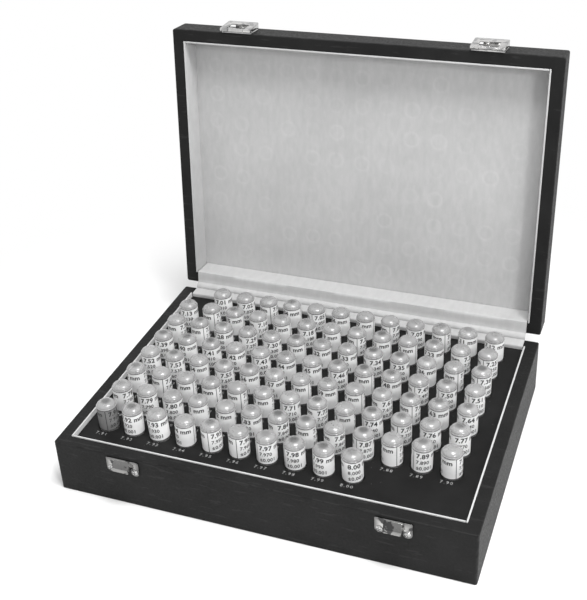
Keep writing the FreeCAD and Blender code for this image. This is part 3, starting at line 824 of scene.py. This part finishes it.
def label_print(size):
    """Plain sizes in three rows, twice round the tube, between ruled lines."""
    rule = 0.32 * MM
    top_rule = ruled(LABEL_TOP - rule, LABEL_TOP)
    parts = [top_rule, ruled(LABEL_BOTTOM, LABEL_BOTTOM + rule * 0.7), seam_line()]
    large, small = 3.5 * MM, 2.7 * MM
    rows = (("%.2f mm" % size, large, 0.032, 11.4 * MM), ("%.3f" % size, small, 0.022, 6.7 * MM),
            ("±0.001", small, 0.022, 2.0 * MM))
    for block in (0.30, math.pi + 0.22):
        for text, height, weight, rise in rows:
            letters = flat_print(text, height, weight, 1.04, 0.8 * MM)
            parts.append(wrapped(letters, PRINT_RADIUS, block, LABEL_BOTTOM + rise))
    return gather(parts)


def plate_number(size, spot):
    """The size printed on the plate in front of its tube."""
    points, faces = flat_print("%.2f" % size, 2.7 * MM, 0.0, 1.35)
    wide = max(p.x for p in points)
    base = Vector((spot.x - wide / 2 - 1.2 * MM, spot.y - 11.6 * MM, PLATE_HIGH.z + 0.03 * MM))
    return [p + base for p in points], faces


# Tubes that lean most in the photo, as row and place: how far, in degrees, and which way.
LEANERS = {(8, 3): (4.0, 250), (7, 5): (3.0, 100), (6, 9): (2.5, 30), (3, 2): (3.0, 200)}
# This tube's label is paper painted dark grey: a painted shadow lying over that label.
SHADOWED_LABELS = {(8, 1)}


def build_gauges():
    size = SMALLEST
    labels = label_band()
    for number in ROWS:
        tubes, caps, papers, shadowed_papers, prints, pins, numbers = [], [], [], [], [], [], []
        cap_shades = []
        for place, spot in enumerate(stations(number), 1):
            lean, heading = LEANERS.get((number, place), (abs(rng.gauss(0, 0.9)), rng.uniform(0, 360)))
            tip = leaning(spot, math.radians(min(lean, 4)), math.radians(heading))
            spin = Matrix.Rotation(rng.uniform(0, 2 * math.pi), 4, "Z")
            tubes.append(moved(tube(), tip))
            caps.append(moved(cap(), tip))
            # Painted shade for each cap's middle, strongest at the centre, standing in for the dark tube and
            # pin seen through the cap.
            centre_shade_strength = rng.choice((0.1, 0.25, 0.45, 0.7, 0.85))
            cap_shades += [centre_shade_strength * math.exp(-(math.hypot(p.x, p.y) / (3.4 * MM)) ** 6)
                           for p in cap()[0]]
            pins.append(moved(gauge(size / 2 * MM), tip))
            # A shadowed label gets the dark grey paper, which is a painted shadow.
            (shadowed_papers if (number, place) in SHADOWED_LABELS else papers).append(moved(labels, tip))
            prints.append(moved(label_print(size), tip @ spin))
            numbers.append(plate_number(size, spot))
            size = round(size + STEP, 2)
        made(f"tubes_row_{number}", *gather(tubes), "tube", "base", "tube",
             nodes=[f"tube_row_{number}"])
        made(f"caps_row_{number}", *gather(caps), "cap", "base", "cap", nodes=[f"cap_row_{number}"],
             shade=cap_shades)
        made(f"pins_row_{number}", *gather(pins), "steel", "base", "gauge_steel",
             nodes=[f"gauge_row_{number}"])
        made(f"labels_row_{number}", *gather(papers), "paper", "base", "tube")
        if shadowed_papers:
            made(f"shadowed_labels_row_{number}", *gather(shadowed_papers), "grey_paper", "base", "tube")
        made(f"label_print_row_{number}", *gather(prints), "print", "base", "tube")
        made(f"plate_numbers_row_{number}", *gather(numbers), "plate_print", "base", "rack_plate")


# ---------------------------------------------------------------- fittings
def knuckle(start, end, radius, bore):
    """A rolled barrel along X with rounded ends."""
    soft = 0.15 * MM
    part = lathe([(bore, start), (radius - soft, start), (radius, start + soft),
                  (radius, end - soft), (radius - soft, end), (bore, end)], 28, loop=True)
    return moved(part, ALONG_X)


def pin_along(start, end, radius):
    soft = radius * 0.35
    part = lathe([(0, start), (radius - soft, start), (radius, start + soft), (radius, end - soft),
                  (radius - soft, end), (0, end)], 24)
    return moved(part, ALONG_X)


def screw_head(radius, height):
    """A domed head that faces up, with a cross cut into it."""
    points, faces = lathe([(0, 0), (radius, 0), (radius, height * 0.25), (radius * 0.86, height * 0.62),
                           (radius * 0.5, height * 0.92), (0, height)], 28)
    head = made("screw_blank", points, faces, "chrome", None, "fittings")
    for turn in (0, math.pi / 2):
        arm = slab([(-radius * 0.62, -radius * 0.13), (radius * 0.62, -radius * 0.13),
                    (radius * 0.62, radius * 0.13), (-radius * 0.62, radius * 0.13)],
                   height * 0.45, height * 2)
        cutter = made("cross", *moved(arm, Matrix.Rotation(turn, 4, "Z")), "chrome", None, "fittings")
        boolean(head, cutter)
    part = ([v.co.copy() for v in head.data.vertices], [tuple(p.vertices) for p in head.data.polygons])
    bpy.data.objects.remove(head)
    return part


HINGE_HALF = 18 * MM
KNUCKLE = 9 * MM
GAP = 0.3 * MM
LEAF = 0.8 * MM
HINGE_RADIUS = 2.4 * MM


def build_hinges():
    low, high = local_box("hinge_pins")
    spread = high.x - HINGE_HALF - GAP
    leaf_face = FLOOR_HIGH.y - HINGE.y
    bore = 1.15 * MM
    base_low = local_box("hinge_base_leaves")[0].z - HINGE.z
    lid_high = local_box("hinge_lid_leaves", LID)[1].z
    still = Matrix.Translation(HINGE)
    base_parts, lid_parts, pins, screws = [], [], [], {"base": [], "lid": []}
    head = screw_head(1.7 * MM, 0.7 * MM)
    outward = Matrix.Rotation(-math.pi / 2, 4, "X")
    for side in (-1, 1):
        at = Matrix.Translation((side * spread, 0, 0))
        leaf = slab(rounded_rectangle((-HINGE_HALF, base_low), (HINGE_HALF, -HINGE_RADIUS * 0.55), 0.8 * MM, 3),
                    -(leaf_face + LEAF), -leaf_face)
        base_parts.append(moved(leaf, at @ FACING_FRONT))
        for start in (-HINGE_HALF, HINGE_HALF - KNUCKLE):
            base_parts.append(moved(knuckle(start, start + KNUCKLE, HINGE_RADIUS, bore), at))
        leaf = slab(rounded_rectangle((-HINGE_HALF, HINGE_RADIUS * 0.55), (HINGE_HALF, lid_high), 0.8 * MM, 3),
                    -(leaf_face + LEAF), -leaf_face)
        lid_parts.append(moved(leaf, at @ FACING_FRONT))
        lid_parts.append(moved(knuckle(-HINGE_HALF + KNUCKLE + GAP, HINGE_HALF - KNUCKLE - GAP,
                                       HINGE_RADIUS, bore), at))
        pins.append(moved(pin_along(-HINGE_HALF - GAP, HINGE_HALF + GAP, 1.1 * MM), at))
        for x in (-11 * MM, 11 * MM):
            for body, z in (("base", base_low * 0.62), ("lid", lid_high * 0.62)):
                spot = Matrix.Translation((side * spread + x, leaf_face + LEAF, z))
                screws[body].append(moved(head, spot @ outward))
    made("hinge_leaves_base", *gather(base_parts), "chrome", "base", "fittings", turn=still,
         nodes=["hinge_base_leaves"])
    made("hinge_leaves_lid", *gather(lid_parts), "chrome", "lid", "fittings", turn=LID,
         nodes=["hinge_lid_leaves"])
    made("hinge_pin_pair", *gather(pins), "steel", "base", "fittings", turn=still,
         nodes=["hinge_pins"])
    made("hinge_screws_base", *gather(screws["base"]), "chrome", "base", "fittings", turn=still)
    made("hinge_screws_lid", *gather(screws["lid"]), "chrome", "lid", "fittings", turn=LID)


LATCH_HALF = 12.25 * MM
WINDOW_HALF = 7.25 * MM
WINDOW_END = 10.4 * MM
HASP_REACH = 17 * MM
BARREL = 1.3 * MM
MIDDLE_HALF = 6 * MM
SHEET = 0.8 * MM


def hasp_joint(side):
    joint = next(j for j in frame["joints"] if j["name"] == f"{side}_hasp_hinge")
    return Vector(joint["pos_m"])


REST_LEAN = math.radians(5.6)


def build_hasp(side):
    """The swinging frame: a plate with a window, flanged sides and a knuckle at each end."""
    turn = (Matrix.Translation(hasp_joint(side)) @ Matrix.Rotation(-OPEN, 4, "X")
            @ Matrix.Rotation(REST_LEAN, 4, "X"))
    outline = [(-LATCH_HALF, 0), (-WINDOW_HALF, 0), (-WINDOW_HALF, WINDOW_END),
               (WINDOW_HALF, WINDOW_END), (WINDOW_HALF, 0), (LATCH_HALF, 0)]
    outline += rounded_corner(LATCH_HALF - 1.2 * MM, HASP_REACH - 1.2 * MM, 1.2 * MM, 0, 4)
    outline += rounded_corner(-LATCH_HALF + 1.2 * MM, HASP_REACH - 1.2 * MM, 1.2 * MM, 90, 4)
    plate = moved(slab(outline, BARREL - SHEET, BARREL), FACING_FRONT)
    made(f"{side}_hasp_frame", *plate, "chrome", f"{side}_hasp", "fittings", turn=turn,
         bevel=0.12 * MM, nodes=[f"{side}_hasp"])
    flanges = []
    for x in (-LATCH_HALF, LATCH_HALF - SHEET):
        side_view = [(BARREL - SHEET * 0.5, 1.6 * MM), (BARREL - SHEET * 0.5, HASP_REACH - 1.2 * MM),
                     (-2.7 * MM, HASP_REACH - 1.2 * MM), (-1.5 * MM, 2.0 * MM)]
        flat, faces = slab([(z, d) for d, z in side_view], x, x + SHEET)
        flanges.append(([Vector((p.z, -p.y, p.x)) for p in flat], faces))
    made(f"{side}_hasp_flanges", *gather(flanges), "chrome", f"{side}_hasp", "fittings", turn=turn,
         bevel=0.1 * MM)
    inner = MIDDLE_HALF + 0.2 * MM
    barrels = [knuckle(-LATCH_HALF, -inner, BARREL, 0.65 * MM), knuckle(inner, LATCH_HALF, BARREL, 0.65 * MM)]
    made(f"{side}_hasp_barrels", *gather(barrels), "chrome", f"{side}_hasp", "fittings", turn=turn)


def build_brackets():
    """Plates on the lid's front wall that carry the hasps' pins."""
    head = lathe([(0, 0), (1.5 * MM, 0), (1.4 * MM, 0.3 * MM), (0.9 * MM, 0.65 * MM), (0, 0.8 * MM)], 24)
    face = LID_LOW.y
    low, high = local_box("hasp_brackets", LID)
    spread = high.x - LATCH_HALF
    rivets, pins, plates, mids = [], [], [], []
    for sign, side in ((-1, "left"), (1, "right")):
        at = Matrix.Translation((sign * spread, 0, 0))
        outline = rounded_rectangle((-LATCH_HALF, LID_RIM + 0.3 * MM), (LATCH_HALF, high.z), 1.0 * MM, 4)
        plates.append(moved(slab(outline, -face, -face + SHEET), at @ FACING_FRONT))
        lip = slab([(-MIDDLE_HALF, high.z - SHEET), (MIDDLE_HALF, high.z - SHEET),
                    (MIDDLE_HALF, high.z), (-MIDDLE_HALF, high.z)], -face + SHEET * 0.5, -low.y - 0.9 * MM)
        mids.append(moved(lip, at @ FACING_FRONT))
        pivot = LID.inverted() @ hasp_joint(side)
        barrel = moved(knuckle(-MIDDLE_HALF, MIDDLE_HALF, BARREL, 0.65 * MM),
                       Matrix.Translation((sign * spread, pivot.y, pivot.z)))
        mids.append(barrel)
        web = slab([(-MIDDLE_HALF, pivot.z + 0.9 * MM), (MIDDLE_HALF, pivot.z + 0.9 * MM),
                    (MIDDLE_HALF, LID_RIM + 1.6 * MM), (-MIDDLE_HALF, LID_RIM + 1.6 * MM)],
                   -face + SHEET * 0.5, -pivot.y)
        mids.append(moved(web, at @ FACING_FRONT))
        pins.append(moved(pin_along(-LATCH_HALF, LATCH_HALF, 0.6 * MM),
                          Matrix.Translation((sign * spread, pivot.y, pivot.z))))
        for x in (-4 * MM, 4 * MM):
            spot = Matrix.Translation((sign * spread + x, face - SHEET, LID_RIM + 8 * MM))
            rivets.append(moved(head, spot @ FACING_FRONT))
    made("bracket_plates", *gather(plates), "chrome", "lid", "fittings", turn=LID, bevel=0.12 * MM,
         nodes=["hasp_brackets"])
    made("bracket_middles", *gather(mids), "chrome", "lid", "fittings", turn=LID)
    made("hasp_pin_pair", *gather(pins), "steel", "lid", "fittings", turn=LID, nodes=["hasp_pins"])
    made("bracket_rivet_heads", *gather(rivets), "chrome", "lid", "fittings", turn=LID,
         nodes=["bracket_rivets"])


LEG_HALF = 3.15 * MM


def keeper_outline(low, high, under):
    """A top bar with a rounded leg at each end."""
    middle = LATCH_HALF - LEG_HALF
    foot = low + LEG_HALF
    top = rounded_corner(LATCH_HALF - 0.8 * MM, high - 0.8 * MM, 0.8 * MM, 0, 3)
    top += rounded_corner(-LATCH_HALF + 0.8 * MM, high - 0.8 * MM, 0.8 * MM, 90, 3)
    left = [(-middle + LEG_HALF * math.cos(t), foot + LEG_HALF * math.sin(t))
            for t in (math.pi * (1 + i / 10) for i in range(11))]
    right = [(middle + LEG_HALF * math.cos(t), foot + LEG_HALF * math.sin(t))
             for t in (math.pi * (1 + i / 10) for i in range(11))]
    inner = middle - LEG_HALF
    return top + left + [(-inner, under), (inner, under)] + right


def build_keepers():
    wall = FLOOR_LOW.y
    heads = []
    head = screw_head(2.1 * MM, 1.0 * MM)
    for side in ("left", "right"):
        low, high = local_box(f"{side}_keeper")
        middle = (low.x + high.x) / 2
        at = Matrix.Translation((middle, 0, 0))
        under = low.z + 4.6 * MM
        outline = keeper_outline(low.z, high.z, under)
        plate = moved(slab(outline, -wall, -wall + SHEET), at @ FACING_FRONT)
        # The keepers use plating painted dark for the reflections of front-facing chrome, with painted
        # highlights on its edges.
        made(f"{side}_keeper_plate", *plate, "dull_chrome", "base", "fittings", bevel=0.12 * MM,
             nodes=[f"{side}_keeper"])
        reach = wall - low.y
        section = [(SHEET * 0.5, under), (SHEET * 0.5, high.z - MM), (SHEET, high.z - MM),
                   (reach * 0.62, under + 4.6 * MM), (reach, under + 2.2 * MM), (reach, under - 0.8 * MM),
                   (reach - 0.8 * MM, under - 0.8 * MM), (reach - 0.8 * MM, under)]
        part = slab([(z, d) for d, z in section], -MIDDLE_HALF, MIDDLE_HALF)
        points = [Vector((middle + p.z, wall - p.y, p.x)) for p in part[0]]
        made(f"{side}_keeper_nose", points, part[1], "dull_chrome", "base", "fittings", bevel=0.2 * MM)
        for x in (-9.2 * MM, 9.2 * MM):
            spot = Matrix.Translation((middle + x, wall - SHEET, RIM - 10.9 * MM))
            heads.append(moved(head, spot @ FACING_FRONT))
    made("keeper_screw_heads", *gather(heads), "chrome", "base", "fittings", nodes=["keeper_screws"])


# ---------------------------------------------------------------- studio
def build_stage():
    """A pale floor that turns to plain white away from the object's shadow."""
    size = 6.0
    mesh = bpy.data.meshes.new("floor")
    mesh.from_pydata([(-size, -size, 0), (size, -size, 0), (size, size, 0), (-size, size, 0)], [],
                     [(0, 1, 2, 3)])
    floor = bpy.data.objects.new("floor", mesh)
    bpy.context.scene.collection.objects.link(floor)
    shade = Shade("floor_white", colour=(0.9, 0.9, 0.9), rough=0.9)
    tree = shade.tree
    away = shade.node("ShaderNodeVectorMath", operation="LENGTH")
    shade.join(shade.place, away.inputs[0])
    far = shade.node("ShaderNodeMapRange", interpolation_type="SMOOTHSTEP")
    far.inputs["From Min"].default_value = 0.2
    far.inputs["From Max"].default_value = 0.42
    shade.join(away.outputs["Value"], far.inputs["Value"])
    path = shade.node("ShaderNodeLightPath")
    seen = shade.math("MAXIMUM", path.outputs["Is Camera Ray"], path.outputs["Is Glossy Ray"])
    seen = shade.math("MAXIMUM", seen, path.outputs["Is Transmission Ray"])
    amount = shade.math("MULTIPLY", seen, far.outputs["Result"])
    glow = shade.node("ShaderNodeEmission")
    mixed = shade.node("ShaderNodeMixShader")
    shade.join(amount, mixed.inputs["Fac"])
    shade.join(shade.shader.outputs[0], mixed.inputs[1])
    shade.join(glow.outputs[0], mixed.inputs[2])
    shade.join(mixed.outputs[0], tree.nodes["Material Output"].inputs["Surface"])
    mesh.materials.append(shade.material)


def build_world():
    """White to the camera and in metal; for light, a room that is bright above and dim below."""
    world = bpy.data.worlds.new("studio")
    world.use_nodes = True
    tree = world.node_tree

    def node(kind, **settings):
        added = tree.nodes.new(kind)
        for name, setting in settings.items():
            setattr(added, name, setting)
        return added

    place = node("ShaderNodeTexCoord")
    parts = node("ShaderNodeSeparateXYZ")
    sky = node("ShaderNodeValToRGB")
    path = node("ShaderNodeLightPath")
    seen = node("ShaderNodeMath", operation="MAXIMUM")
    shown = node("ShaderNodeMath", operation="MAXIMUM")
    colour = node("ShaderNodeMix", data_type="RGBA")
    for element, (height, grey) in zip(sky.color_ramp.elements, ((0.05, 0.16), (0.75, 1.0))):
        element.position = height
        element.color = (grey, grey, grey, 1)
    tree.links.new(place.outputs["Generated"], parts.inputs[0])
    tree.links.new(parts.outputs["Z"], sky.inputs["Fac"])
    tree.links.new(path.outputs["Is Camera Ray"], seen.inputs[0])
    tree.links.new(path.outputs["Is Glossy Ray"], seen.inputs[1])
    tree.links.new(seen.outputs[0], shown.inputs[0])
    tree.links.new(path.outputs["Is Transmission Ray"], shown.inputs[1])
    tree.links.new(shown.outputs[0], colour.inputs[0])
    tree.links.new(sky.outputs["Color"], colour.inputs[6])
    colour.inputs[7].default_value = (1, 1, 1, 1)
    tree.links.new(colour.outputs[2], tree.nodes["Background"].inputs["Color"])
    bpy.context.scene.world = world


def area_light(name, spot, target, size, power):
    data = bpy.data.lights.new(name, "AREA")
    data.shape = "DISK"
    data.size = size
    data.energy = power
    lamp = bpy.data.objects.new(name, data)
    lamp.location = spot
    lamp.rotation_mode = "QUATERNION"
    lamp.rotation_quaternion = (Vector(target) - Vector(spot)).to_track_quat("-Z", "Y")
    bpy.context.scene.collection.objects.link(lamp)


def build_camera():
    """The photo's view: from the front, a little to the right, 30 degrees above the table."""
    data = bpy.data.cameras.new("camera")
    data.lens = 65.3
    data.sensor_width = 36
    data.shift_x, data.shift_y = 0.0215, -0.0686
    data.clip_start, data.clip_end = 0.05, 20
    camera = bpy.data.objects.new("camera", data)
    bpy.context.scene.collection.objects.link(camera)
    turn, tilt, roll = (math.radians(a) for a in (22.72, 60.11, -3.5))
    camera.matrix_world = (Matrix.Translation((0.2327, -0.5911, 0.5170))
                           @ Matrix.Rotation(turn, 4, "Z") @ Matrix.Rotation(tilt, 4, "X")
                           @ Matrix.Rotation(roll, 4, "Z"))
    bpy.context.scene.camera = camera


build_case()
build_lid_cloth()
build_flap()
build_plate()
build_gauges()
build_hinges()
build_hasp("left")
build_hasp("right")
build_brackets()
build_keepers()
build_stage()
build_world()
area_light("key", (0.25, -0.14, 1.05), (0, 0.02, 0.05), 0.45, 9)
area_light("front", (0.85, -0.85, 0.8), (0, 0, 0.1), 0.25, 6)
build_camera()
bpy.context.scene.view_settings.view_transform = "Standard"
